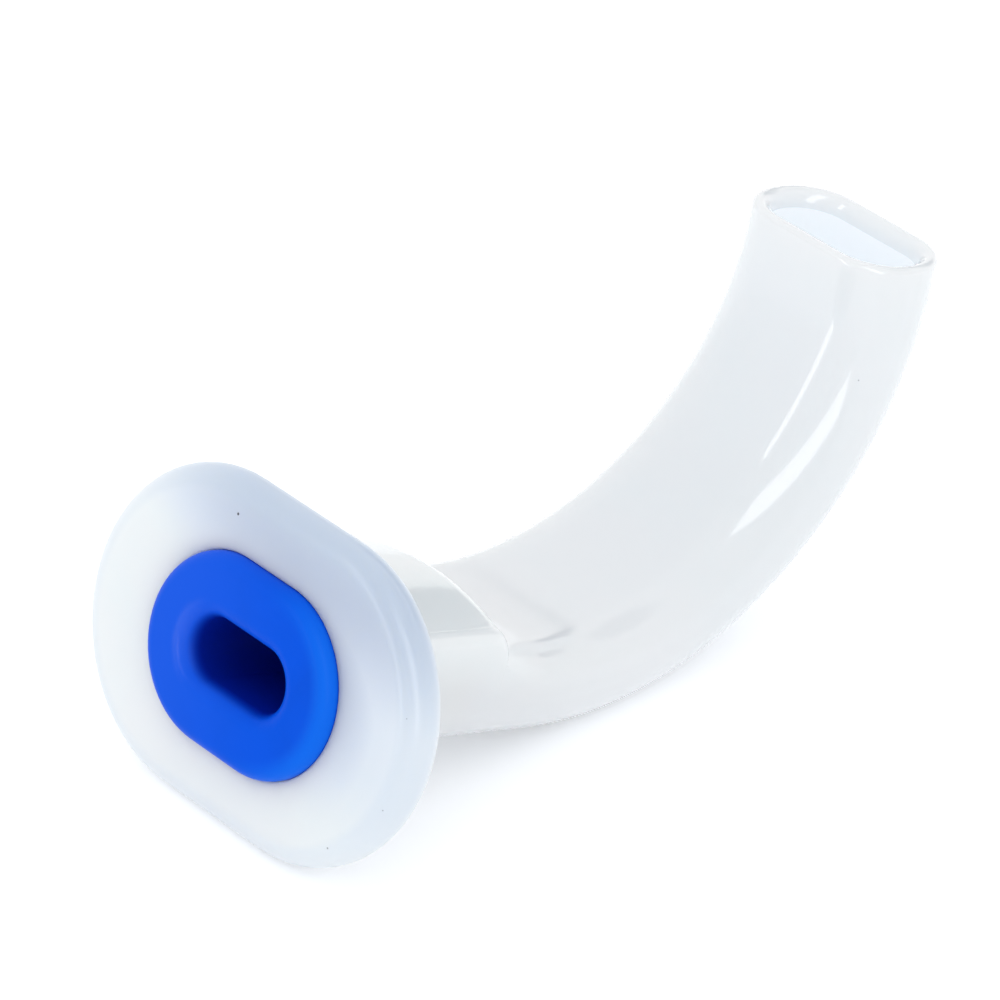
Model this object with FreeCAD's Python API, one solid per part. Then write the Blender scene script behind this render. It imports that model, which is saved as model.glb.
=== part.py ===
import FreeCAD, Part
import math
import os
from FreeCAD import Vector

# Oropharyngeal airway, 50 mm size, in millimetres.
# It is drawn in its bite frame: origin at the centre of the flange's front face,
# +Y along the bite axis into the mouth, +Z to the concave side of the tube, X across.
# Then it is set down as it stands on a table, on the flange's lower edge and the belly
# of the bend, with the origin below the middle of the whole.

# Airway bore through the insert
airway_bore_width = 8.0
airway_bore_height = 3.9
bore_lip_radius = 1.2

# Insert: a head seated in the flange, and a sleeve through the bite section
head_width = 16.0
head_height = 11.9
head_proud = 1.0
head_seat_depth = 1.2
head_edge_radius = 0.95
sleeve_side_wall = 2.0
sleeve_flat_wall = 0.65
sleeve_length = 12.4
sleeve_end_radius = 0.3
insert_clearance = 0.05

# Flange, a racetrack plate with a fully rounded rim
flange_width = 29.0
flange_height = 20.2
flange_thickness = 3.0
flange_edge_radius = 1.45

# Bite section: the body's walls round the sleeve, and the step above the tube
bite_side_wall = 1.2
bite_belly_wall = 0.65
bite_length = 14.4
bite_crown_step = 2.95
bite_side_step = 1.55
bite_corner_radius = 0.9
bite_shoulder_radius = 1.1
bite_root_radius = 0.5

# Curved tube, from the flange to the tip
tube_thickness = 6.1
tube_straight_length = 19.6
belly_radius = 26.5
bend_angle = 97.0
tube_wall = 1.1
tip_width = 13.1
tip_thickness = 7.7
tip_straight_length = 1.2
tip_wall = 1.0
tip_lip_radius = 0.47

# Corner radii of the tube's section on the belly side, on the concave side and inside
belly_corner_radius = 3.0
tip_belly_corner_radius = 3.6
concave_corner_radius = 2.4
tip_concave_corner_radius = 3.5
lumen_corner_radius = 1.9
tip_lumen_corner_radius = 2.7

# Narrowest flat left between two roundings of one wall
narrowest_land = 0.03

# How far the straight runs along the bend and across a rim may cut inside their arc
run_tolerance = 0.02

# Sizes that follow from the ones above
sleeve_width = airway_bore_width + 2 * sleeve_side_wall
sleeve_height = airway_bore_height + 2 * sleeve_flat_wall
socket_width = sleeve_width + 2 * insert_clearance
socket_height = sleeve_height + 2 * insert_clearance
tube_width = socket_width + 2 * bite_side_wall
belly_z = -(socket_height / 2 + bite_belly_wall)
concave_z = belly_z + tube_thickness

ORIGIN = Vector(0, 0, 0)
ACROSS = Vector(1, 0, 0)
BITE_AXIS = Vector(0, 1, 0)
SAME_PLANE = 1e-4


def limited(radius, wall):
    """Rounding radius, kept within half of the wall that it rounds."""
    return min(radius, wall / 2 - narrowest_land)


def between(start, end, share):
    return start + (end - start) * share


def eased(share):
    """Share that rises fast and ends flat."""
    return 1 - (1 - share) ** 2


def straight_runs(radius, turned_deg):
    """Number of straight runs that follow an arc within the tolerance."""
    half_run = math.acos(1 - run_tolerance / radius)
    return math.ceil(math.radians(turned_deg) / (2 * half_run))


def end_rings(rounding):
    """Inset and setback of each outline that rounds an end. A rounding below 0 flares it out."""
    if rounding == 0:
        return [(0, 0)]
    rings = []
    radius = abs(rounding)
    runs = straight_runs(radius, 90)
    for index in range(runs + 1):
        angle = math.pi / 2 * index / runs
        rings.append((rounding * (1 - math.sin(angle)), radius * (1 - math.cos(angle))))
    return rings


def flat_face(solid, point, normal):
    """The flat face of a solid that lies in the plane through the point."""
    for face in solid.Faces:
        in_plane = all(abs((vertex.Point - point).dot(normal)) < SAME_PLANE for vertex in face.Vertexes)
        if in_plane and face.Surface.TypeId == "Part::GeomPlane":
            return face


def hole_edges(face):
    """Edges round the openings in a face."""
    return [edge for wire in face.Wires if not wire.isSame(face.OuterWire) for edge in wire.Edges]


def racetrack(width, height, y):
    """Outline across Y that is straight above and below and half-round at the sides."""
    radius = height / 2
    centre = width / 2 - radius
    low_right = Vector(centre, y, -radius)
    high_right = Vector(centre, y, radius)
    high_left = Vector(-centre, y, radius)
    low_left = Vector(-centre, y, -radius)
    curves = [
        Part.Arc(low_right, Vector(width / 2, y, 0), high_right),
        Part.LineSegment(high_right, high_left),
        Part.Arc(high_left, Vector(-width / 2, y, 0), low_left),
        Part.LineSegment(low_left, low_right),
    ]
    return Part.Wire([curve.toShape() for curve in curves])


def racetrack_block(width, height, y_start, y_end, start_rounding=0, end_rounding=0):
    """Block along Y with rounded or flared ends."""
    outlines = []
    for inset, setback in end_rings(start_rounding):
        outlines.append(racetrack(width - 2 * inset, height - 2 * inset, y_start + setback))
    for inset, setback in reversed(end_rings(end_rounding)):
        outlines.append(racetrack(width - 2 * inset, height - 2 * inset, y_end - setback))
    return Part.makeLoft(outlines, True, True)


def quarter_circle(centre_x, centre_z, radius, start_deg):
    """Edge in the XZ plane, counter-clockwise from start_deg."""
    points = []
    for turned_deg in (0, 45, 90):
        angle = math.radians(start_deg + turned_deg)
        points.append(Vector(centre_x + radius * math.cos(angle), 0, centre_z + radius * math.sin(angle)))
    return Part.Arc(*points).toShape()


def tube_section(width, thickness, belly_radius_here, concave_radius_here):
    """Section of the tube in the XZ plane, standing on z = 0 with its belly side down."""
    low = limited(belly_radius_here, thickness)
    high = limited(concave_radius_here, thickness)
    side = width / 2
    arcs = [
        quarter_circle(side - low, low, low, -90),
        quarter_circle(side - high, thickness - high, high, 0),
        quarter_circle(high - side, thickness - high, high, 90),
        quarter_circle(low - side, low, low, 180),
    ]
    edges = []
    for arc, following in zip(arcs, arcs[1:] + arcs[:1]):
        end = arc.valueAt(arc.LastParameter)
        start = following.valueAt(following.FirstParameter)
        edges += [arc, Part.LineSegment(end, start).toShape()]
    return Part.Wire(edges)


def tip_axis():
    angle = math.radians(bend_angle)
    return Vector(0, math.cos(angle), math.sin(angle))


def tube_outline(share, depth, belly_radius_here, concave_radius_here):
    """Outline at a share of the bend, at a depth inside the tube's outside."""
    outline = tube_section(
        between(tube_width, tip_width, share) - 2 * depth,
        between(tube_thickness, tip_thickness, share) - 2 * depth,
        belly_radius_here,
        concave_radius_here,
    )
    angle = math.radians(bend_angle * share)
    outline.translate(Vector(0, 0, depth))
    outline.rotate(ORIGIN, ACROSS, bend_angle * share)
    outline.translate(Vector(
        0,
        tube_straight_length + belly_radius * math.sin(angle),
        belly_z + belly_radius * (1 - math.cos(angle)),
    ))
    return outline


def tube_form(first_y, walls, belly_radii, concave_radii, lip_rounding):
    """The tube's outside, or its lumen. Walls and corner radii are given at the start and the tip."""
    first = tube_outline(0, walls[0], belly_radii[0], concave_radii[0])
    first.translate(BITE_AXIS * (first_y - tube_straight_length))
    outlines = [first]
    runs = straight_runs(belly_radius, bend_angle)
    for index in range(runs + 1):
        share = index / runs
        radii = between(*belly_radii, share), between(*concave_radii, eased(share))
        outlines.append(tube_outline(share, between(*walls, share), *radii))
    for inset, setback in reversed(end_rings(lip_rounding)):
        ring = tube_outline(1, walls[1] + inset, belly_radii[1] - inset, concave_radii[1] - inset)
        ring.translate(tip_axis() * (tip_straight_length - setback))
        outlines.append(ring)
    return Part.makeLoft(outlines, True, True)


def flange():
    rounding = limited(flange_edge_radius, flange_thickness)
    return racetrack_block(flange_width, flange_height, 0, flange_thickness, rounding, rounding)


def bite_step():
    """Raised part of the bite section: sides in line with the tube's, and a crowned top."""
    side = tube_width / 2
    side_z = concave_z + bite_side_step
    crown_z = concave_z + bite_crown_step
    right_top = Vector(side, 0, side_z)
    left_top = Vector(-side, 0, side_z)
    right_foot = Vector(side, 0, 0)
    left_foot = Vector(-side, 0, 0)
    curves = [
        Part.Arc(right_top, Vector(0, 0, crown_z), left_top),
        Part.LineSegment(left_top, left_foot),
        Part.LineSegment(left_foot, right_foot),
        Part.LineSegment(right_foot, right_top),
    ]
    outline = Part.Wire([curve.toShape() for curve in curves])
    block = Part.Face(outline).extrude(BITE_AXIS * bite_length)
    upper = [edge for edge in block.Edges if edge.CenterOfMass.z > side_z - SAME_PLANE]
    corners = [edge for edge in upper if edge.BoundBox.XLength < bite_corner_radius]
    block = block.makeFillet(bite_corner_radius, corners)
    shoulder = flat_face(block, BITE_AXIS * bite_length, BITE_AXIS).Edges
    raised = [edge for edge in shoulder if edge.CenterOfMass.z > SAME_PLANE]
    return block.makeFillet(bite_shoulder_radius, raised)


def airway_body():
    """Milky moulding: flange, bite section and tube in one piece, open from end to end."""
    lip = limited(tip_lip_radius, tip_wall)
    belly_radii = (belly_corner_radius, tip_belly_corner_radius)
    concave_radii = (concave_corner_radius, tip_concave_corner_radius)
    lumen_radii = (lumen_corner_radius, tip_lumen_corner_radius)
    outside = tube_form(flange_thickness / 2, (0, 0), belly_radii, concave_radii, lip)
    lumen = tube_form(sleeve_length, (tube_wall, tip_wall), lumen_radii, lumen_radii, -lip)
    head_room = 2 * insert_clearance
    seat = racetrack_block(head_width + head_room, head_height + head_room, 0, head_seat_depth)
    socket = racetrack_block(socket_width, socket_height, 0, sleeve_length)

    body = flange().fuse([bite_step(), outside]).removeSplitter()
    back = flat_face(body, BITE_AXIS * flange_thickness, BITE_AXIS)
    body = body.makeFillet(bite_root_radius, hole_edges(back))
    return body.cut([seat, socket, lumen]).removeSplitter().Solids[0]


def bite_insert():
    """Hard insert: head, sleeve and the airway bore through both."""
    head = racetrack_block(head_width, head_height, -head_proud, head_seat_depth, head_edge_radius)
    sleeve = racetrack_block(sleeve_width, sleeve_height, 0, sleeve_length, 0, sleeve_end_radius)
    bore = racetrack_block(airway_bore_width, airway_bore_height, -head_proud, sleeve_length, -bore_lip_radius)
    return head.fuse(sleeve).cut(bore).removeSplitter().Solids[0]


def standing_tilt_deg():
    """How far the bite axis points down when the rim's lower edge and the belly share one plane."""
    rim_radius = limited(flange_edge_radius, flange_thickness)
    along = tube_straight_length - (flange_thickness - rim_radius)
    up = (belly_z + belly_radius) - (rim_radius - flange_height / 2)
    return math.degrees(math.acos((belly_radius - rim_radius) / math.hypot(along, up)) - math.atan2(along, up))


pieces = {"airway_body": airway_body(), "bite_insert": bite_insert()}
for shape in pieces.values():
    shape.rotate(ORIGIN, ACROSS, -standing_tilt_deg())
whole = Part.Compound(list(pieces.values())).optimalBoundingBox(False)
middle = (whole.YMin + whole.YMax) / 2

os.makedirs("parts", exist_ok=True)
for node, shape in pieces.items():
    shape.translate(Vector(0, -middle, -whole.ZMin))
    shape.exportStep("parts/" + node + ".step")
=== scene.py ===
import math

import bmesh
import bpy
from mathutils import Matrix, Vector


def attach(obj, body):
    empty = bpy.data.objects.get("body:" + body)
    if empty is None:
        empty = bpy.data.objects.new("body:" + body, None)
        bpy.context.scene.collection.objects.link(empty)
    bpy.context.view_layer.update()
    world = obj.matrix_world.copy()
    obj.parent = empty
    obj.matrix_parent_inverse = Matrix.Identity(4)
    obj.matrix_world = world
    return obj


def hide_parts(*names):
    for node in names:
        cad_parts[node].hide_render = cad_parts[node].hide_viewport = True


bl_info = {
    "name": "Oropharyngeal airway, 50 mm",
    "version": (1, 0, 0),
    "blender": (4, 5, 0),
    "location": "View3D > Sidebar > Airway",
    "description": "Models a milky airway with its blue bite insert on a pale studio floor",
    "category": "Object",
}

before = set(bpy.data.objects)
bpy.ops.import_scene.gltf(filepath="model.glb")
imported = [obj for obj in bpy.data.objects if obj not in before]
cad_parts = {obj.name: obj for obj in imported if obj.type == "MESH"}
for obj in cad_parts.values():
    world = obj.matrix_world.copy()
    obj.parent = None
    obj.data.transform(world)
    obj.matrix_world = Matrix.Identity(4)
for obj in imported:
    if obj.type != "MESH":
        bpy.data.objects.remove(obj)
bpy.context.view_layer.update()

MM = 0.001

# Where the centre of the flange's front face stands, and how far the bite axis points down
FLANGE_CENTRE = Vector((0, -24.5885 * MM, 10.1698 * MM))
BITE_TILT = math.radians(17.281793)

# Height of the bite axis above the belly side of the straight tube
AXIS_HEIGHT = 3.3 * MM

# Narrowest flat left between two roundings
LAND = 0.01 * MM

# Steps across one rounded corner of an outline, and along half of its top
CORNER_STEPS = 18
TOP_STEPS = 14

# Steps across the larger roundings, the tip's lip, the bite section's root and the small edges
RIM_STEPS = 9
LIP_STEPS = 9
ROOT_STEPS = 5
EDGE_STEPS = 3

# Steps along the foot of the shoulder and along the bend
FOOT_STEPS = 14
BEND_STEPS = 56

# Points nearer to each other than this are one
MERGE = 1e-6

# Corner radii at the bend's start and at the tip: belly side, hollow side and lumen
BELLY_CORNER = (3.0 * MM, 3.6 * MM)
HOLLOW_CORNER = (2.4 * MM, 3.5 * MM)
LUMEN_CORNER = (1.9 * MM, 2.7 * MM)

# Places of the plain outlines along the bite section
BITE_PLACES = (6 * MM, 9 * MM, 11.5 * MM)

# Crown where the shoulder's foot starts, and rounding of the seat's edge
FOOT_CROWN = 0.4 * MM
SEAT_EDGE = 0.12 * MM

# Specks in the milky plastic: place and radius in millimetres, and depth of colour
SPECKS = (
    ((-3.8, -22.2, 17.9), 0.09, 1.0),
    ((6.1, 19.4, 16.9), 0.07, 0.5),
    ((10.3, -26.6, 3.6), 0.07, 0.6),
    ((13.4, -25.2, 7.4), 0.05, 0.4),
    ((13.2, -23.5, 13.0), 0.05, 0.4),
)

# Where a speck's soft edge starts and ends, in shares of its radius
SPECK_EDGE = (0.6, 1.3)

# Depth of the plastics' fine grain
GRAIN_DEPTH = 0.02 * MM

# How far light spreads in the milky plastic, and the share of it for red, green and blue
SCATTER = 2.5 * MM
SCATTER_SHARES = (0.95, 1.0, 1.0)

# Where the flange's look, its satin and the tube's coat change, along from the flange's front
FLANGE_FADE = (1.5 * MM, 3.2 * MM)
SATIN_FADE = (2.9 * MM, 3.5 * MM)
COAT_FADE = (3 * MM, 4 * MM)

# Painted bluish shade in the flange, round the insert's head and towards its top: distances from the
# insert's head, heights, and places up the slant
PAINTED_SHADE_REACH = (-1 * MM, 5.5 * MM)
PAINTED_SHADE_HEIGHTS = (1 * MM, 8 * MM)
PAINTED_SHADE_SLANT = (-3 * MM, 9 * MM)
PAINTED_SHADE_SHARE = 0.7

# The slant rises with the height and with this share of the place across
SLANT = 0.6

# Where the flange's painted glow fades up the slant
GLOW_SLANT = (-6 * MM, 6 * MM)

# Where the painted shade on the flange's rounded rim starts, from its outline, and how strong it is
RIM_SHADE_FADE = (-1.7 * MM, -1.0 * MM)
RIM_SHADE_SHARE = 0.15

# The insert's painted light and shade: painted shade up to the bore's edge, painted light towards -X, and a
# painted highlight on its edge towards +X
BORE_SHADE_FADE = (-0.15 * MM, 0.45 * MM)
PAINTED_LIGHT_FADE = (-8 * MM, 5 * MM)
LIT_FADE = (0.5 * MM, 7.5 * MM)
LIT_EDGE = (-1.5 * MM, -0.2 * MM)

# Gloss on the bore's lip: its start and end from the bore's edge, and where it fades out across
LIP_START = (0.2 * MM, 0.6 * MM)
LIP_END = (1.0 * MM, 1.5 * MM)
LIP_ACROSS = (-6 * MM, -3 * MM)

# What the studio lights point at, and how far from it they stand
OBJECT_MIDDLE = Vector((0, 0, 12 * MM))
STRIP_DISTANCE = 0.5

# Soft strips: name, directions of the two ends, width in metres and brightness
STRIPS = (
    ("side_softbox", (0.90, -0.40, 0.10), (0.22, -0.30, 0.93), 0.16, 2.2),
    ("front_strip", (-0.17, -0.98, 0.02), (-0.47, -0.55, 0.69), 0.075, 2.5),
)

# Colour and strength of the light from all round
SKY_COLOUR = (0.965, 0.98, 1.0)
SKY_STRENGTH = 0.93

# Dark cards that only gloss sees: direction, reach, soft edge in shares of it, and white left
CARD_COLOUR = (0.0, 0.03, 0.1)
LOW_CARD = ((-0.18, 0.88, 0.37), (0.42, 1.0, 0.17), (0.9, 1.1), 0.0)
HIGH_CARD = ((0.15, 0.6, 0.8), (0.36, 0.22, 0.22), (0.8, 1.2), 0.4)

# Glow that joins the floor to the white behind it
FLOOR_LIFT = 0.3

# Camera fitted to the photograph: turn to the side, down and round its line of sight in degrees,
# place of the flange's centre seen from it in the fit's own unit, and focal length in pixels
CAMERA_TURN = (40.7485, 19.2757, 16.6587)
CAMERA_UNIT = 0.8056 * MM
CAMERA_SHIFT = (-18.7200, -12.0959, 478.2021)
FOCAL_PIXELS = 6536.965
PHOTO_WIDTH = 1000
SENSOR_WIDTH = 36


def length(name, description, millimetres):
    return bpy.props.FloatProperty(
        name=name, description=description, default=millimetres * MM,
        min=0, precision=5, subtype="DISTANCE", unit="LENGTH",
    )


def colour(name, description, value):
    return bpy.props.FloatVectorProperty(
        name=name, description=description, default=value, size=3, min=0, max=1, subtype="COLOR",
    )


def share(name, description, value):
    return bpy.props.FloatProperty(
        name=name, description=description, default=value, min=0, max=1, subtype="FACTOR",
    )


class AirwaySizes(bpy.types.PropertyGroup):
    """Lengths of the moulding and the insert."""
    flange_width: length("Flange width", "Across the flange", 29.0)
    flange_height: length("Flange height", "Height of the flange", 20.2)
    flange_thickness: length("Flange thickness", "Along the bite axis", 3.0)
    flange_rounding: length("Flange rounding", "Radius of the flange's rim", 1.45)
    bite_length: length("Bite length", "From the flange's front to the shoulder", 14.4)
    bite_side_step: length("Bite side step", "Height of the bite's upper corners above the tube", 1.89)
    bite_crown: length("Bite crown", "Rise of the bite section's top to its middle", 1.06)
    bite_corner: length("Bite corner", "Radius between the top and the sides", 0.9)
    bite_shoulder: length("Shoulder rounding", "Radius at the end of the bite section", 1.5)
    bite_root: length("Root rounding", "Radius between the flange and the bite section", 0.5)
    shoulder_foot: length("Shoulder foot", "Length of the hollow between the shoulder and the tube", 4.4)
    tube_width: length("Tube width", "Across the tube at the bite section", 14.5)
    tube_thickness: length("Tube thickness", "Height of the tube behind the bite section", 6.1)
    tube_straight: length("Straight length", "From the flange's front to the bend", 19.6)
    belly_radius: length("Belly radius", "Bend radius of the tube's outer side", 26.5)
    tube_wall: length("Tube wall", "Wall at the bite section", 1.1)
    tip_width: length("Tip width", "Across the tube at the tip", 13.1)
    tip_thickness: length("Tip thickness", "Height of the tube at the tip", 7.7)
    tip_straight: length("Tip straight", "Straight end after the bend", 1.2)
    tip_wall: length("Tip wall", "Wall at the tip", 1.1)
    tip_lip: length("Tip lip", "Radius of the lip's outer side", 0.4)
    tip_funnel: length("Tip funnel", "Depth of the lip's rounded inner side", 1.15)
    bend: bpy.props.FloatProperty(
        name="Bend", description="Angle that the tube turns through",
        default=math.radians(97), subtype="ANGLE", unit="ROTATION",
    )
    head_width: length("Head width", "Across the insert's head", 16.0)
    head_height: length("Head height", "Height of the insert's head", 11.9)
    head_proud: length("Head proud", "Height of the head above the flange", 1.0)
    head_seat: length("Head seat", "Depth of the head in the flange", 1.2)
    head_rounding: length("Head rounding", "Radius of the head's edge", 0.95)
    sleeve_width: length("Sleeve width", "Across the insert's sleeve", 12.0)
    sleeve_height: length("Sleeve height", "Height of the insert's sleeve", 5.2)
    sleeve_length: length("Sleeve length", "From the flange's front to the sleeve's end", 12.4)
    sleeve_rounding: length("Sleeve rounding", "Radius of the sleeve's end", 0.3)
    bore_width: length("Bore width", "Across the airway bore", 8.0)
    bore_height: length("Bore height", "Height of the airway bore", 3.9)
    bore_lip: length("Bore lip", "Radius of the bore's mouth", 1.2)
    clearance: length("Clearance", "Gap between the insert and the moulding", 0.05)


class AirwayFinish(bpy.types.PropertyGroup):
    """Colours and gloss of the two plastics."""
    milky: colour("Milky plastic", "Colour of the moulding", (0.895, 0.93, 0.98))
    milky_shade: colour("Milky shade", "Colour that it drifts to with the flow marks", (0.87, 0.915, 0.972))
    # Painted bluish shade of the flange round the insert and towards its top
    milky_painted_shade: colour("Blue bleed", "Colour of the moulding round the insert", (0.44, 0.52, 0.66))
    speck: colour("Speck", "Colour of the small dark specks", (0.03, 0.03, 0.05))
    # Painted shade on the flange's rounded rim
    milky_painted_rim_shade: colour("Flange rim", "Colour that the flange's rounded rim leans to", (0.50, 0.62, 0.74))
    milky_gloss: share("Milky roughness", "Roughness of the moulding", 0.18)
    flange_satin: share("Flange satin", "Roughness that the flange has more than the tube", 0.1)
    flange_coat: share("Flange coat", "Weight of the glossy coat on the flange", 0.08)
    tube_coat: share("Tube coat", "Weight of the glossy coat on the tube", 0.85)
    coat_gloss: share("Coat roughness", "Roughness of the moulding's coat", 0.035)
    # Painted glow of the flange, strongest on its lower side
    flange_glow: share("Flange glow", "Light that the flange passes on, most on its lower side", 0.03)
    lumen_glow: share("Lumen glow", "Light that the milky walls pass on inside the tube", 0.13)
    insert: colour("Insert", "Colour of the insert", (0.0005, 0.105, 0.86))
    # Painted light on the insert's -X side
    insert_painted_light: colour("Insert, paler side", "Colour of the insert towards -X", (0.012, 0.12, 0.88))
    insert_lit: colour("Insert, lit edge", "Colour of its rounded edge towards +X", (0.006, 0.17, 0.96))
    # Painted shade in the insert's bore
    insert_painted_shade: colour("Insert shade", "Colour of the insert's bore", (0.0004, 0.002, 0.3))
    insert_gloss: share("Insert roughness", "Roughness of the insert", 0.34)
    insert_coat: share("Lip gloss", "Weight of the coat on the bore's lip", 0.6)
    floor: colour("Floor", "Colour of the studio floor", (0.96, 0.965, 0.97))


def sizes():
    return bpy.context.scene.airway_sizes


def finish():
    return bpy.context.scene.airway_finish


# Outlines: half of a rounded rectangle from the middle of its belly side to the middle
# of its top. Heights are above the belly plane, and "along" runs from the flange's front.

def outline(along, half, low, high, low_radius, high_radius, crown=0.0):
    room = (high - low) / 2 - LAND
    return {
        "along": along, "half": half, "low": low, "high": high,
        "low_radius": min(low_radius, room), "high_radius": min(high_radius, room), "crown": crown,
    }


def racetrack(along, width, height):
    """Outline round the bite axis with half-round sides."""
    return outline(along, width / 2, AXIS_HEIGHT - height / 2, AXIS_HEIGHT + height / 2, height, height)


def grown(ring, by, along=None):
    """The outline offset outwards, and moved if another place is given."""
    bigger = dict(ring)
    bigger["along"] = ring["along"] if along is None else along
    bigger["half"] = ring["half"] + by
    bigger["low"] = ring["low"] - by
    bigger["high"] = ring["high"] + by
    for name in ("low_radius", "high_radius"):
        bigger[name] = max(ring[name] + by, LAND)
    return bigger


def between(start, end, part):
    return start + (end - start) * part


def quarter(steps):
    """Cosines and sines of the steps of a quarter turn, from 0 to 90 degrees."""
    turns = [math.pi / 2 * step / steps for step in range(steps + 1)]
    return [(math.cos(turn), math.sin(turn)) for turn in turns]


class HalfHose:
    """Half of a hollow form, grown outline by outline in edit mode.

    It stands along Z, with Z = 0 where the tube's bend starts.
    """

    def __init__(self, name, first):
        self.zero = sizes().tube_straight
        half, low, high = first["half"], first["low"], first["high"]
        bpy.ops.mesh.primitive_plane_add(
            size=1, location=(half / 2, -(low + high) / 2, first["along"] - self.zero),
        )
        self.object = bpy.context.object
        self.object.name = name
        self.object.data.name = name
        self.object.scale = (half, high - low, 1)
        bpy.ops.object.transform_apply(location=True, rotation=True, scale=True)
        bpy.ops.object.mode_set(mode="EDIT")
        bpy.ops.mesh.select_mode(type="VERT")
        for height, radius in ((low, first["low_radius"]), (high, first["high_radius"])):
            self.select(lambda point: point.x > half / 2 and abs(point.y + height) < MERGE)
            bpy.ops.mesh.bevel(
                offset=radius, offset_type="OFFSET", segments=CORNER_STEPS, profile=0.5,
                affect="VERTICES", clamp_overlap=False,
            )
        bpy.ops.mesh.select_all(action="SELECT")
        bpy.ops.mesh.delete(type="ONLY_FACE")
        self.select(lambda point: point.x < MERGE)
        model = bmesh.from_edit_mesh(self.object.data)
        for edge in list(model.edges):
            if edge.select:
                model.edges.remove(edge)
        self.select(lambda point: abs(point.y + high) < MERGE)
        bpy.ops.mesh.subdivide(number_cuts=TOP_STEPS - 1)
        self.order = self.chain()
        self.count = len(self.order)
        self.blocks = 1
        self.base = 0
        self.now = dict(first)
        if first["crown"]:
            reach = half - first["high_radius"]
            self.pick(self.order[-1:])
            bpy.ops.transform.translate(
                value=(0, -first["crown"], 0), use_proportional_edit=True,
                proportional_edit_falloff="INVERSE_SQUARE", proportional_size=reach,
            )
        self.first = dict(first)

    def select(self, test):
        """Select the points that pass a test of their place, and the edges between them."""
        bpy.ops.mesh.select_all(action="DESELECT")
        model = bmesh.from_edit_mesh(self.object.data)
        for point in model.verts:
            point.select = test(point.co)
        model.select_flush(True)
        bmesh.update_edit_mesh(self.object.data)

    def pick(self, numbers):
        """Select points by number."""
        bpy.ops.mesh.select_all(action="DESELECT")
        model = bmesh.from_edit_mesh(self.object.data)
        model.verts.ensure_lookup_table()
        for number in numbers:
            model.verts[number].select = True
        model.select_flush(True)
        bmesh.update_edit_mesh(self.object.data)

    def chain(self):
        """Numbers of the first outline's points, from the belly's middle to the top's."""
        model = bmesh.from_edit_mesh(self.object.data)
        model.verts.index_update()
        ends = [point for point in model.verts if len(point.link_edges) == 1]
        here = max(ends, key=lambda point: point.co.y)
        numbers = [here.index]
        came = None
        while True:
            ahead = [edge for edge in here.link_edges if edge is not came]
            if not ahead:
                return numbers
            came = ahead[0]
            here = came.other_vert(here)
            numbers.append(here.index)

    def group(self, start, stop):
        """Numbers of a stretch of the last outline's points."""
        return [self.base + number for number in self.order[start:stop]]

    def grow(self, target):
        """Extrude the last outline and shape the new one."""
        was = self.now
        self.pick(self.group(0, self.count))
        bpy.ops.mesh.extrude_edges_indiv()
        self.base = self.blocks * self.count
        self.blocks += 1
        step = target["along"] - was["along"]
        if step:
            bpy.ops.transform.translate(value=(0, 0, step))
        height = target["along"] - self.zero
        corner_end = 1 + CORNER_STEPS + 1
        top_start = corner_end + CORNER_STEPS + 1
        slide = target["half"] - was["half"]
        fall = was["low"] - target["low"]
        rise = was["high"] - target["high"]
        if fall:
            self.pick(self.group(0, 1))
            bpy.ops.transform.translate(value=(0, fall, 0))
        self.corner(self.group(1, corner_end), was["half"], -was["low"], height,
                    target["low_radius"] / was["low_radius"], (slide, fall, 0))
        self.corner(self.group(corner_end, top_start), was["half"], -was["high"], height,
                    target["high_radius"] / was["high_radius"], (slide, rise, 0))
        wider = (target["half"] - target["high_radius"]) / (was["half"] - was["high_radius"])
        taller = target["crown"] / was["crown"] if was["crown"] else 1
        self.pick(self.group(top_start, self.count))
        if wider != 1 or taller != 1:
            bpy.ops.transform.resize(value=(wider, taller, 1), center_override=(0, -was["high"], height))
        if rise:
            bpy.ops.transform.translate(value=(0, rise, 0))
        self.now = dict(target)

    def corner(self, numbers, x, y, z, ratio, move):
        """Scale a corner's arc about its sharp corner, then move it."""
        if ratio == 1 and not any(move):
            return
        self.pick(numbers)
        if ratio != 1:
            bpy.ops.transform.resize(value=(ratio, ratio, 1), center_override=(x, y, z))
        if any(move):
            bpy.ops.transform.translate(value=move)

    def back_to_first(self):
        """Grow the next outline from the first one again, on its other side."""
        self.base = 0
        self.now = dict(self.first)

    def close(self):
        """Join the two ends, mirror the half and leave edit mode."""
        bpy.ops.mesh.select_all(action="SELECT")
        bpy.ops.mesh.remove_doubles(threshold=MERGE)
        bpy.ops.object.mode_set(mode="OBJECT")
        mirror = self.object.modifiers.new("Mirror", "MIRROR")
        mirror.merge_threshold = MERGE
        bpy.ops.object.modifier_apply(modifier=mirror.name)
        bpy.ops.object.mode_set(mode="EDIT")
        bpy.ops.mesh.select_all(action="SELECT")
        bpy.ops.mesh.remove_doubles(threshold=MERGE)
        bpy.ops.mesh.dissolve_degenerate(threshold=MERGE)
        bpy.ops.mesh.normals_make_consistent(inside=False)
        bpy.ops.object.mode_set(mode="OBJECT")
        return self.object


def deselect_all():
    if bpy.context.object and bpy.context.object.mode != "OBJECT":
        bpy.ops.object.mode_set(mode="OBJECT")
    bpy.ops.object.select_all(action="DESELECT")


def bend_length(size):
    """Length of the bend along the tube's belly."""
    return size.belly_radius * size.bend


def bend_tube(piece, size):
    """Turn what lies past the straight part round the belly's bend."""
    lowest = min(point.co.z for point in piece.data.vertices)
    highest = max(point.co.z for point in piece.data.vertices)
    bend = piece.modifiers.new("Bend", "SIMPLE_DEFORM")
    bend.deform_method = "BEND"
    bend.deform_axis = "X"
    bend.angle = -size.bend
    bend.limits = (-lowest / (highest - lowest), (bend_length(size) - lowest) / (highest - lowest))
    bpy.ops.object.modifier_apply(modifier=bend.name)


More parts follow.
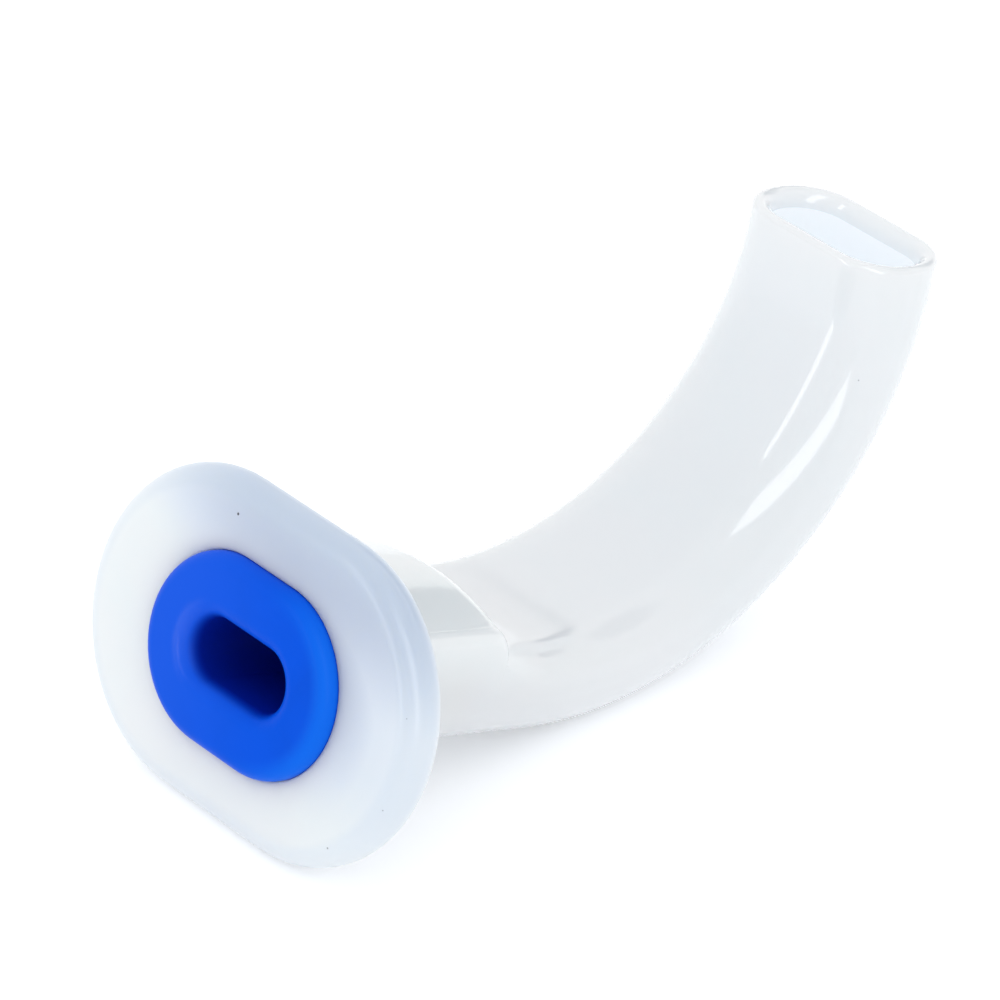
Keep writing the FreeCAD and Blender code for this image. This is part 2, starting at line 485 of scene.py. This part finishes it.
def set_down(piece):
    """Turn a piece from its modelling axis to its place on the floor."""
    tilt = Matrix.Rotation(-BITE_TILT, 4, "X")
    piece.rotation_euler = (-math.pi / 2 - BITE_TILT, 0, 0)
    piece.location = FLANGE_CENTRE + tilt @ Vector((0, sizes().tube_straight, -AXIS_HEIGHT))
    bpy.ops.object.transform_apply(location=True, rotation=True, scale=True)


def smooth(piece, degrees=32):
    bpy.ops.object.shade_smooth_by_angle(angle=math.radians(degrees))
    weighted = piece.modifiers.new("Even shading", "WEIGHTED_NORMAL")
    weighted.keep_sharp = True
    weighted.weight = 100
    bpy.ops.object.modifier_apply(modifier=weighted.name)


def tube_ring(size, part, depth, low_radius, high_radius):
    """Outline a depth inside the bent tube's skin, with part 0 at the bend's start and 1 at its end."""
    thickness = between(size.tube_thickness, size.tip_thickness, part)
    return outline(
        size.tube_straight + bend_length(size) * part,
        between(size.tube_width, size.tip_width, part) / 2 - depth, depth, thickness - depth,
        low_radius, high_radius,
    )


def grow_bite(hose, bite, size):
    """Bite section, its rounded shoulder and the hollow foot behind it."""
    for place in BITE_PLACES:
        hose.grow(dict(bite, along=place))
    rounding = size.bite_shoulder
    start = size.bite_length - rounding
    for cosine, sine in quarter(RIM_STEPS):
        high = bite["high"] - rounding * (1 - cosine)
        hose.grow(dict(bite, along=start + rounding * sine, high=high))
    fall = hose.now["high"] - size.tube_thickness
    for step in range(FOOT_STEPS + 1):
        part = step / FOOT_STEPS
        left = (1 - part) ** 2 * (1 + part)
        hose.grow(dict(
            bite, along=size.bite_length + size.shoulder_foot * part,
            high=size.tube_thickness + fall * left,
            high_radius=between(HOLLOW_CORNER[0], size.bite_corner, left),
            crown=FOOT_CROWN * (1 - part) ** 4,
        ))


def grow_tube(hose, size):
    """Outside of the tube round the bend."""
    for step in range(BEND_STEPS + 1):
        part = step / BEND_STEPS
        low_radius = between(*BELLY_CORNER, part)
        high_radius = between(*HOLLOW_CORNER, 1 - (1 - part) ** 2)
        hose.grow(tube_ring(size, part, 0, low_radius, high_radius))


def grow_tip(hose, size):
    """Rounded lip of the tip and the funnel inside it."""
    tip_end = size.tube_straight + bend_length(size) + size.tip_straight
    lip = size.tip_lip
    outer = hose.now
    for cosine, sine in quarter(LIP_STEPS):
        hose.grow(grown(outer, -lip * (1 - cosine), tip_end - lip * (1 - sine)))
    lumen = tube_ring(size, 1, size.tip_wall, LUMEN_CORNER[1], LUMEN_CORNER[1])
    for cosine, sine in quarter(LIP_STEPS):
        along = tip_end - size.tip_funnel * (1 - cosine)
        hose.grow(grown(lumen, (size.tip_wall - lip) * (1 - sine), along))


def grow_lumen(hose, size):
    """Lumen from the tip to the insert's sleeve, whose points join a group of their own."""
    hose.pick(hose.group(0, hose.count))
    bpy.ops.object.vertex_group_assign_new()
    for step in range(BEND_STEPS + 1):
        part = 1 - step / BEND_STEPS
        radius = between(*LUMEN_CORNER, part)
        wall = between(size.tube_wall, size.tip_wall, part)
        hose.grow(tube_ring(size, part, wall, radius, radius))
    hose.grow(dict(hose.now, along=size.sleeve_length))


def grow_flange(hose, bite, size):
    """Root of the bite section, then the flange from its back round the rim to its front."""
    root = size.bite_root
    for cosine, sine in reversed(quarter(ROOT_STEPS)):
        hose.grow(grown(bite, root * (1 - sine), size.flange_thickness + root * (1 - cosine)))
    rim = size.flange_rounding
    flange = racetrack(0, size.flange_width, size.flange_height)
    for cosine, sine in quarter(RIM_STEPS):
        hose.grow(grown(flange, -rim * (1 - sine), size.flange_thickness - rim * (1 - cosine)))
    for cosine, sine in reversed(quarter(RIM_STEPS)):
        hose.grow(grown(flange, -rim * (1 - sine), rim * (1 - cosine)))


def grow_socket(hose, size):
    """Seat of the insert's head and socket of its sleeve."""
    gap = 2 * size.clearance
    seat = racetrack(0, size.head_width + gap, size.head_height + gap)
    for cosine, sine in quarter(EDGE_STEPS):
        hose.grow(grown(seat, SEAT_EDGE * (1 - sine), SEAT_EDGE * (1 - cosine)))
    hose.grow(dict(seat, along=size.head_seat))
    socket = racetrack(size.head_seat, size.sleeve_width + gap, size.sleeve_height + gap)
    hose.grow(socket)
    hose.grow(dict(socket, along=size.sleeve_length))


def model_body():
    """Flange, stepped bite section, curved tube and lumen in one skin."""
    size = sizes()
    bite = outline(
        size.flange_thickness + size.bite_root, size.tube_width / 2, 0,
        size.tube_thickness + size.bite_side_step, BELLY_CORNER[0], size.bite_corner, size.bite_crown,
    )
    hose = HalfHose("airway_moulding", bite)
    grow_bite(hose, bite, size)
    grow_tube(hose, size)
    grow_tip(hose, size)
    grow_lumen(hose, size)
    lumen_start = dict(hose.now)
    hose.back_to_first()
    grow_flange(hose, bite, size)
    grow_socket(hose, size)
    hose.grow(lumen_start)
    return hose.close()


def model_insert():
    """Head, sleeve and bore in one skin."""
    size = sizes()
    head = racetrack(size.head_seat, size.head_width, size.head_height)
    sleeve = racetrack(size.head_seat, size.sleeve_width, size.sleeve_height)
    bore = racetrack(size.sleeve_length, size.bore_width, size.bore_height)
    hose = HalfHose("bite_insert_moulding", head)
    front = -size.head_proud
    rounding = size.head_rounding
    lip = size.bore_lip
    hose.grow(dict(head, along=0))
    for cosine, sine in reversed(quarter(RIM_STEPS)):
        hose.grow(grown(head, -rounding * (1 - sine), front + rounding * (1 - cosine)))
    for cosine, sine in quarter(RIM_STEPS):
        hose.grow(grown(bore, lip * (1 - sine), front + lip * (1 - cosine)))
    hose.grow(bore)
    hose.back_to_first()
    hose.grow(sleeve)
    end = size.sleeve_rounding
    for cosine, sine in quarter(EDGE_STEPS):
        hose.grow(grown(sleeve, -end * (1 - cosine), size.sleeve_length - end * (1 - sine)))
    hose.grow(bore)
    return hose.close()


# Materials

def node_at(tree, kind, x, y, **values):
    node = tree.nodes.new(kind)
    node.location = (x, y)
    for name, value in values.items():
        setattr(node, name, value)
    return node


def new_material(name):
    material = bpy.data.materials.new(name)
    material.use_nodes = True
    tree = material.node_tree
    tree.nodes.clear()
    output = node_at(tree, "ShaderNodeOutputMaterial", 900, 0)
    surface = node_at(tree, "ShaderNodeBsdfPrincipled", 600, 0)
    tree.links.new(surface.outputs["BSDF"], output.inputs["Surface"])
    return material, tree, surface


def moulded_skin_group():
    """Fine grain, faint flow marks and small scuffs of a moulded plastic skin."""
    group = bpy.data.node_groups.new("Moulded skin", "ShaderNodeTree")
    face = group.interface
    for name, value in (("Grain scale", 2600), ("Flow scale", 120), ("Scuff amount", 0.1)):
        face.new_socket(name, in_out="INPUT", socket_type="NodeSocketFloat").default_value = value
    for name in ("Height", "Flow", "Scuffs"):
        face.new_socket(name, in_out="OUTPUT", socket_type="NodeSocketFloat")
    start = node_at(group, "NodeGroupInput", -900, 0)
    end = node_at(group, "NodeGroupOutput", 700, 0)
    place = node_at(group, "ShaderNodeTexCoord", -900, 300)
    grain = node_at(group, "ShaderNodeTexNoise", -600, 300)
    grain.inputs["Detail"].default_value = 3
    flow = node_at(group, "ShaderNodeTexNoise", -600, 50)
    flow.inputs["Detail"].default_value = 4
    flow.inputs["Distortion"].default_value = 0.6
    scuff = node_at(group, "ShaderNodeTexNoise", -600, -250)
    scuff.inputs["Scale"].default_value = 900
    scuff.inputs["Detail"].default_value = 6
    stretch = node_at(group, "ShaderNodeMapping", -760, -250)
    stretch.inputs["Scale"].default_value = (1, 0.25, 1)
    stretch.inputs["Rotation"].default_value = (0.3, 0.2, 0.6)
    threshold = node_at(group, "ShaderNodeMapRange", -350, -250)
    threshold.inputs["From Min"].default_value = 0.62
    threshold.inputs["From Max"].default_value = 0.72
    amount = node_at(group, "ShaderNodeMath", -100, -250, operation="MULTIPLY")
    blend = node_at(group, "ShaderNodeMath", -350, 200, operation="MULTIPLY_ADD")
    blend.inputs[1].default_value = 0.35
    link = group.links.new
    link(place.outputs["Object"], grain.inputs["Vector"])
    link(place.outputs["Object"], flow.inputs["Vector"])
    link(place.outputs["Object"], stretch.inputs["Vector"])
    link(stretch.outputs["Vector"], scuff.inputs["Vector"])
    link(start.outputs["Grain scale"], grain.inputs["Scale"])
    link(start.outputs["Flow scale"], flow.inputs["Scale"])
    link(scuff.outputs["Fac"], threshold.inputs["Value"])
    link(threshold.outputs["Result"], amount.inputs[0])
    link(start.outputs["Scuff amount"], amount.inputs[1])
    link(grain.outputs["Fac"], blend.inputs[0])
    link(flow.outputs["Fac"], blend.inputs[2])
    link(blend.outputs["Value"], end.inputs["Height"])
    link(flow.outputs["Fac"], end.inputs["Flow"])
    link(amount.outputs["Value"], end.inputs["Scuffs"])
    return group


def skin_node(tree, x, y, grain, flow, scuffs):
    group = bpy.data.node_groups.get("Moulded skin") or moulded_skin_group()
    node = node_at(tree, "ShaderNodeGroup", x, y)
    node.node_tree = group
    node.inputs["Grain scale"].default_value = grain
    node.inputs["Flow scale"].default_value = flow
    node.inputs["Scuff amount"].default_value = scuffs
    return node


def mixed(tree, x, y, factor, first, second):
    """Colour mix of two colours or colour sockets."""
    mix = node_at(tree, "ShaderNodeMix", x, y, data_type="RGBA")
    tree.links.new(factor, mix.inputs["Factor"])
    for socket, value in ((mix.inputs["A"], first), (mix.inputs["B"], second)):
        if isinstance(value, bpy.types.NodeSocket):
            tree.links.new(value, socket)
        else:
            socket.default_value = (*value, 1)
    return mix.outputs["Result"]


def ranged(tree, x, y, value, low, high, out_low=0.0, out_high=1.0):
    node = node_at(tree, "ShaderNodeMapRange", x, y)
    node.interpolation_type = "SMOOTHSTEP"
    for name, number in (("From Min", low), ("From Max", high), ("To Min", out_low), ("To Max", out_high)):
        node.inputs[name].default_value = number
    tree.links.new(value, node.inputs["Value"])
    return node.outputs["Result"]


def math_node(tree, x, y, operation, first, second=None):
    """Result of a math node on one or two sockets or numbers."""
    node = node_at(tree, "ShaderNodeMath", x, y, operation=operation)
    for socket, value in zip(node.inputs, (first, second)):
        if isinstance(value, bpy.types.NodeSocket):
            tree.links.new(value, socket)
        elif value is not None:
            socket.default_value = value
    return node.outputs["Value"]


def bite_place(tree, x, y):
    """The surface's place along the bite axes, as three sockets."""
    place = node_at(tree, "ShaderNodeTexCoord", x, y)
    turned = node_at(tree, "ShaderNodeMapping", x + 160, y)
    turned.vector_type = "TEXTURE"
    turned.inputs["Location"].default_value = FLANGE_CENTRE
    turned.inputs["Rotation"].default_value = (-BITE_TILT, 0, 0)
    split = node_at(tree, "ShaderNodeSeparateXYZ", x + 340, y)
    tree.links.new(place.outputs["Object"], turned.inputs["Vector"])
    tree.links.new(turned.outputs["Vector"], split.inputs["Vector"])
    return split.outputs["X"], split.outputs["Y"], split.outputs["Z"]


def from_racetrack(tree, x, y, across, up, width, height):
    """Distance outside a racetrack round the bite axis, less than 0 inside it."""
    sideways = math_node(tree, x - 160, y, "ABSOLUTE", across)
    beyond = math_node(tree, x, y, "SUBTRACT", sideways, (width - height) / 2)
    past_end = math_node(tree, x + 160, y, "MAXIMUM", beyond, 0.0)
    past_square = math_node(tree, x + 320, y, "MULTIPLY", past_end, past_end)
    up_square = math_node(tree, x + 320, y - 160, "MULTIPLY", up, up)
    both = math_node(tree, x + 480, y, "ADD", past_square, up_square)
    reach = math_node(tree, x + 640, y, "SQRT", both)
    return math_node(tree, x + 800, y, "SUBTRACT", reach, height / 2)


def clouded(tree, skin, most, first, second):
    """Colour that drifts between two tones with the flow marks."""
    drift = ranged(tree, -380, 200, skin.outputs["Flow"], 0.3, most)
    return mixed(tree, -200, 200, drift, first, second)


def scuffed(tree, skin, gloss, more):
    """Roughness that rises where the skin is scuffed."""
    return ranged(tree, 50, -50, skin.outputs["Scuffs"], 0, 1, gloss, gloss + more)


def add_grain(tree, surface, skin, strength):
    """Bump of the skin's fine grain."""
    bump = node_at(tree, "ShaderNodeBump", 300, -300)
    bump.inputs["Strength"].default_value = strength
    bump.inputs["Distance"].default_value = GRAIN_DEPTH
    tree.links.new(skin.outputs["Height"], bump.inputs["Height"])
    tree.links.new(bump.outputs["Normal"], surface.inputs["Normal"])


def new_milky(name):
    """New material with the milky plastic's colour, scattered light and grain."""
    material, tree, surface = new_material(name)
    look = finish()
    skin = skin_node(tree, -500, -200, 1500, 90, 0.12)
    base = clouded(tree, skin, 0.75, look.milky, look.milky_shade)
    tree.links.new(base, surface.inputs["Base Color"])
    surface.inputs["Subsurface Weight"].default_value = 1
    surface.inputs["Subsurface Radius"].default_value = SCATTER_SHARES
    surface.inputs["Subsurface Scale"].default_value = SCATTER
    add_grain(tree, surface, skin, 0.12)
    return material, tree, surface, skin, base


def lumen_material():
    """Inside of the tube, whose glow stands for light that passes through the walls."""
    material, _, surface, _, _ = new_milky("milky polyethylene, lumen")
    look = finish()
    surface.inputs["Roughness"].default_value = 0.4
    surface.inputs["Emission Color"].default_value = (*look.milky, 1)
    surface.inputs["Emission Strength"].default_value = look.lumen_glow
    return material


def speck_mask(tree, x, y):
    """More than 0 inside the small round specks."""
    place = node_at(tree, "ShaderNodeTexCoord", x, y)
    total = 0.0
    for number, (spot, radius, depth) in enumerate(SPECKS):
        row = y - 200 * number
        reach = node_at(tree, "ShaderNodeVectorMath", x + 200, row, operation="DISTANCE")
        tree.links.new(place.outputs["Object"], reach.inputs[0])
        reach.inputs[1].default_value = Vector(spot) * MM
        inner, outer = [radius * part * MM for part in SPECK_EDGE]
        dot = ranged(tree, x + 400, row, reach.outputs["Value"], inner, outer, depth, 0)
        total = math_node(tree, x + 600, row, "MAXIMUM", dot, total)
    return total


def painted_shade_mask(tree, across, up, slant):
    """Where the flange gets painted bluish shade, as if from the insert behind it: round the insert's head
    and towards the top.
    """
    size = sizes()
    edge = from_racetrack(tree, -2300, 700, across, up, size.head_width, size.head_height)
    near_head = ranged(tree, -1300, 700, edge, *PAINTED_SHADE_REACH, 1, 0)
    to_top = ranged(tree, -1300, 900, up, *PAINTED_SHADE_HEIGHTS, 0.25, 0.95)
    spread = math_node(tree, -1100, 700, "MAXIMUM", near_head, to_top)
    upper = ranged(tree, -1500, 450, slant, *PAINTED_SHADE_SLANT)
    painted_bleed_shade = math_node(tree, -1000, 500, "MULTIPLY", spread, upper)
    return math_node(tree, -900, 500, "MULTIPLY", painted_bleed_shade, PAINTED_SHADE_SHARE)


def rim_shade_mask(tree, across, up):
    """Where the painted bluish shade on the flange's rounded rim lies."""
    size = sizes()
    edge = from_racetrack(tree, -2300, 1500, across, up, size.flange_width, size.flange_height)
    return ranged(tree, -1300, 1500, edge, *RIM_SHADE_FADE, 0, RIM_SHADE_SHARE)


def milky_material():
    """Outside of the moulding: satin flange with painted bluish shade, painted rim shade and a painted
    glow, and clear glossy tube, with specks.
    """
    material, tree, surface, skin, base = new_milky("milky polyethylene")
    look = finish()
    link = tree.links.new
    across, along, up = bite_place(tree, -3000, 500)
    in_flange = ranged(tree, -1300, 200, along, *FLANGE_FADE, 1, 0)
    slant = math_node(tree, -1700, 450, "ADD", math_node(tree, -1900, 450, "MULTIPLY", across, SLANT), up)
    # Painted bluish shade round the insert's head and towards the flange's top
    painted_bleed_shade = math_node(tree, -700, 500, "MULTIPLY", painted_shade_mask(tree, across, up, slant), in_flange)
    # Painted bluish shade on the flange's rim
    rim = math_node(tree, -700, 1500, "MULTIPLY", rim_shade_mask(tree, across, up), in_flange)
    base = mixed(tree, 50, 300, painted_bleed_shade, base, look.milky_painted_shade)
    base = mixed(tree, 150, 300, rim, base, look.milky_painted_rim_shade)
    base = mixed(tree, 250, 300, speck_mask(tree, -900, 2000), base, look.speck)
    link(base, surface.inputs["Base Color"])
    satin = ranged(tree, 50, 50, along, *SATIN_FADE, look.flange_satin, 0)
    rough = math_node(tree, 250, -50, "ADD", scuffed(tree, skin, look.milky_gloss, 0.25), satin)
    link(rough, surface.inputs["Roughness"])
    coat = ranged(tree, 50, -450, along, *COAT_FADE, look.flange_coat, look.tube_coat)
    link(coat, surface.inputs["Coat Weight"])
    surface.inputs["Coat Roughness"].default_value = look.coat_gloss
    surface.inputs["IOR"].default_value = 1.51
    # Painted glow: the flange emits a little of its own colour, most low down
    lower = ranged(tree, -1500, 0, slant, *GLOW_SLANT, 1, 0.2)
    glow = math_node(tree, -700, 200, "MULTIPLY", in_flange, lower)
    link(mixed(tree, 250, 100, glow, (0, 0, 0), look.milky), surface.inputs["Emission Color"])
    surface.inputs["Emission Strength"].default_value = look.flange_glow
    return material


def insert_material():
    """Blue plastic: painted shade in the bore, painted light on its -X side, a painted highlight on its
    rounded +X edge, and a glossy lip of the bore.
    """
    material, tree, surface = new_material("blue insert")
    look = finish()
    size = sizes()
    link = tree.links.new
    skin = skin_node(tree, -500, -200, 2200, 160, 0.2)
    base = clouded(tree, skin, 0.8, look.insert, tuple(value * 0.9 for value in look.insert))
    across, _, up = bite_place(tree, -3000, 500)
    bore = from_racetrack(tree, -2300, 700, across, up, size.bore_width, size.bore_height)
    head = from_racetrack(tree, -2300, 1300, across, up, size.head_width, size.head_height)
    # Painted light towards -X, and a painted highlight on the rounded edge towards +X
    to_right = ranged(tree, -380, 700, across, *PAINTED_LIGHT_FADE)
    right_half = ranged(tree, -380, 900, across, *LIT_FADE)
    at_edge = ranged(tree, -380, 1100, head, *LIT_EDGE)
    lit = math_node(tree, -200, 900, "MULTIPLY", right_half, at_edge)
    # Painted shade in the bore
    bore_shade = ranged(tree, -380, 500, bore, *BORE_SHADE_FADE, 1.0, 0.0)
    base = mixed(tree, -100, 300, to_right, look.insert_painted_light, base)
    base = mixed(tree, -20, 300, lit, base, look.insert_lit)
    base = mixed(tree, 50, 300, bore_shade, base, look.insert_painted_shade)
    link(base, surface.inputs["Base Color"])
    link(scuffed(tree, skin, look.insert_gloss, 0.2), surface.inputs["Roughness"])
    surface.inputs["IOR"].default_value = 1.5
    surface.inputs["Specular IOR Level"].default_value = 0.04
    past_start = ranged(tree, -200, 700, bore, *LIP_START)
    before_end = ranged(tree, -200, 1000, bore, *LIP_END, 1, 0)
    on_left = ranged(tree, -200, 1300, across, *LIP_ACROSS, look.insert_coat, 0)
    lip = math_node(tree, 100, 700, "MULTIPLY", past_start, before_end)
    link(math_node(tree, 300, 700, "MULTIPLY", lip, on_left), surface.inputs["Coat Weight"])
    surface.inputs["Coat Roughness"].default_value = 0.15
    add_grain(tree, surface, skin, 0.25)
    return material


def seen_rays(tree, path):
    """1 for what the camera sees directly, in a reflection or through a clear piece."""
    seen = path.outputs["Is Camera Ray"]
    for number, kind in enumerate(("Is Glossy Ray", "Is Transmission Ray")):
        seen = math_node(tree, -500 + 150 * number, -450, "MAXIMUM", seen, path.outputs[kind])
    return seen


def floor_material():
    """Pale floor, faintly uneven, that glows a little where it is seen."""
    material, tree, surface = new_material("studio floor")
    look = finish()
    noise = node_at(tree, "ShaderNodeTexNoise", -500, 0)
    noise.inputs["Scale"].default_value = 40
    place = node_at(tree, "ShaderNodeTexCoord", -700, 0)
    tree.links.new(place.outputs["Object"], noise.inputs["Vector"])
    pale = mixed(tree, -200, 0, ranged(tree, -350, 0, noise.outputs["Fac"], 0.2, 0.8),
                 look.floor, tuple(value * 0.985 for value in look.floor))
    tree.links.new(pale, surface.inputs["Base Color"])
    surface.inputs["Roughness"].default_value = 0.7
    surface.inputs["Emission Color"].default_value = (1, 1, 1, 1)
    path = node_at(tree, "ShaderNodeLightPath", -700, -300)
    lift = math_node(tree, -200, -300, "MULTIPLY", seen_rays(tree, path), FLOOR_LIFT)
    tree.links.new(lift, surface.inputs["Emission Strength"])
    return material


# Stage

def strip_light(name, low, high, width, level):
    """Soft strip that reaches between two directions from the object."""
    ends = [OBJECT_MIDDLE + STRIP_DISTANCE * Vector(direction).normalized() for direction in (low, high)]
    middle = (ends[0] + ends[1]) / 2
    along = (ends[1] - ends[0]).normalized()
    away = (middle - OBJECT_MIDDLE).normalized()
    across = along.cross(away).normalized()
    bpy.ops.object.light_add(type="AREA")
    light = bpy.context.object
    light.name = name
    light.data.shape = "RECTANGLE"
    light.data.size = width
    light.data.size_y = (ends[1] - ends[0]).length
    light.data.energy = level * math.pi * light.data.size * light.data.size_y
    turn = Matrix((across, along, across.cross(along))).transposed().to_4x4()
    light.matrix_world = Matrix.Translation(middle) @ turn
    light.visible_diffuse = False


def set_camera():
    """Camera of the photograph, placed in the bite's axes and then turned with the airway."""
    side, down, roll = [math.radians(angle) for angle in CAMERA_TURN]
    shift = Vector([part * CAMERA_UNIT for part in CAMERA_SHIFT])
    forward = Vector((-math.sin(side) * math.cos(down), math.cos(side) * math.cos(down), -math.sin(down)))
    right = Vector((math.cos(side), math.sin(side), 0))
    up = right.cross(forward)
    across = math.cos(roll) * right + math.sin(roll) * up
    upward = -math.sin(roll) * right + math.cos(roll) * up
    place = -(across * shift.x + upward * shift.y + forward * shift.z)
    axes = Matrix((across, upward, -forward)).transposed().to_4x4()
    tilt = Matrix.Rotation(-BITE_TILT, 4, "X")
    bpy.ops.object.camera_add()
    camera = bpy.context.object
    camera.name = "camera"
    camera.matrix_world = Matrix.Translation(FLANGE_CENTRE) @ tilt @ Matrix.Translation(place) @ axes
    camera.data.sensor_width = SENSOR_WIDTH
    camera.data.lens = FOCAL_PIXELS / PHOTO_WIDTH * SENSOR_WIDTH
    camera.data.clip_start = 0.01
    camera.data.clip_end = 20
    bpy.context.scene.camera = camera


def white_left(tree, y, place, middle, reach, edge, least):
    """Share of the white that a dark card leaves in each direction."""
    card = node_at(tree, "ShaderNodeMapping", -800, y)
    card.vector_type = "TEXTURE"
    card.inputs["Location"].default_value = middle
    card.inputs["Scale"].default_value = reach
    away = node_at(tree, "ShaderNodeVectorMath", -600, y, operation="LENGTH")
    tree.links.new(place.outputs["Generated"], card.inputs["Vector"])
    tree.links.new(card.outputs["Vector"], away.inputs[0])
    return ranged(tree, -400, y, away.outputs["Value"], *edge, least, 1.0)


def set_world():
    """Soft light from all round, and plain white with two dark cards for what is seen."""
    world = bpy.data.worlds.new("white studio")
    world.use_nodes = True
    bpy.context.scene.world = world
    tree = world.node_tree
    tree.nodes.clear()
    output = node_at(tree, "ShaderNodeOutputWorld", 600, 0)
    mix = node_at(tree, "ShaderNodeMixShader", 400, 0)
    place = node_at(tree, "ShaderNodeTexCoord", -1000, 200)
    path = node_at(tree, "ShaderNodeLightPath", -600, 500)
    low = white_left(tree, 200, place, *LOW_CARD)
    high = white_left(tree, -200, place, *HIGH_CARD)
    white_share = math_node(tree, -320, 0, "MULTIPLY", low, high)
    dark = math_node(tree, -250, 350, "SUBTRACT", path.outputs["Is Glossy Ray"], white_share)
    dark_share = math_node(tree, -100, 350, "MAXIMUM", dark, 0.0)
    around = mixed(tree, 20, 200, dark_share, (1, 1, 1), CARD_COLOUR)
    soft = node_at(tree, "ShaderNodeBackground", 200, 100)
    soft.inputs["Color"].default_value = (*SKY_COLOUR, 1)
    soft.inputs["Strength"].default_value = SKY_STRENGTH
    white = node_at(tree, "ShaderNodeBackground", 200, -100)
    tree.links.new(around, white.inputs["Color"])
    tree.links.new(seen_rays(tree, path), mix.inputs["Fac"])
    tree.links.new(soft.outputs["Background"], mix.inputs[1])
    tree.links.new(white.outputs["Background"], mix.inputs[2])
    tree.links.new(mix.outputs["Shader"], output.inputs["Surface"])


class AIRWAY_OT_stage(bpy.types.Operator):
    """Set the floor, the soft lights, the white surroundings and the camera."""
    bl_idname = "airway.stage"
    bl_label = "Set the studio"

    def execute(self, context):
        deselect_all()
        context.scene.view_settings.view_transform = "Standard"
        bpy.ops.mesh.primitive_plane_add(size=3, location=(0, 0, 0))
        floor = bpy.context.object
        floor.name = "studio_floor"
        bpy.ops.object.mode_set(mode="EDIT")
        bpy.ops.mesh.subdivide(number_cuts=7)
        bpy.ops.object.mode_set(mode="OBJECT")
        floor.data.materials.append(floor_material())
        for strip in STRIPS:
            strip_light(*strip)
        set_world()
        set_camera()
        return {"FINISHED"}


def assign_lumen(piece):
    """Give the lumen's faces the second material."""
    bpy.ops.object.mode_set(mode="EDIT")
    bpy.ops.mesh.select_all(action="DESELECT")
    bpy.ops.object.vertex_group_select()
    piece.active_material_index = 1
    bpy.ops.object.material_slot_assign()
    bpy.ops.object.mode_set(mode="OBJECT")


class AIRWAY_OT_body(bpy.types.Operator):
    """Model the milky moulding: flange, bite section and curved tube."""
    bl_idname = "airway.body"
    bl_label = "Model the moulding"

    def execute(self, context):
        deselect_all()
        piece = model_body()
        bend_tube(piece, sizes())
        set_down(piece)
        smooth(piece)
        piece.data.materials.append(milky_material())
        piece.data.materials.append(lumen_material())
        assign_lumen(piece)
        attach(piece, "root")
        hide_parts("airway_body")
        return {"FINISHED"}


class AIRWAY_OT_insert(bpy.types.Operator):
    """Model the hard blue insert with its bore."""
    bl_idname = "airway.insert"
    bl_label = "Model the insert"

    def execute(self, context):
        deselect_all()
        piece = model_insert()
        set_down(piece)
        smooth(piece)
        piece.data.materials.append(insert_material())
        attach(piece, "root")
        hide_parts("bite_insert")
        return {"FINISHED"}


class AIRWAY_PT_panel(bpy.types.Panel):
    """Buttons and sizes of the airway."""
    bl_idname = "AIRWAY_PT_panel"
    bl_label = "Airway"
    bl_space_type = "VIEW_3D"
    bl_region_type = "UI"
    bl_category = "Airway"

    def draw(self, context):
        layout = self.layout
        for operator in STEPS:
            layout.operator(operator.bl_idname)
        for settings in (context.scene.airway_sizes, context.scene.airway_finish):
            column = layout.column()
            for name in settings.__annotations__:
                column.prop(settings, name)


STEPS = (AIRWAY_OT_stage, AIRWAY_OT_body, AIRWAY_OT_insert)
CLASSES = (AirwaySizes, AirwayFinish, *STEPS, AIRWAY_PT_panel)


def register():
    for cls in CLASSES:
        bpy.utils.register_class(cls)
    bpy.types.Scene.airway_sizes = bpy.props.PointerProperty(type=AirwaySizes)
    bpy.types.Scene.airway_finish = bpy.props.PointerProperty(type=AirwayFinish)


def unregister():
    del bpy.types.Scene.airway_finish
    del bpy.types.Scene.airway_sizes
    for cls in reversed(CLASSES):
        bpy.utils.unregister_class(cls)


def main():
    register()
    bpy.ops.airway.stage()
    bpy.ops.airway.body()
    bpy.ops.airway.insert()


if __name__ == "__main__":
    main()
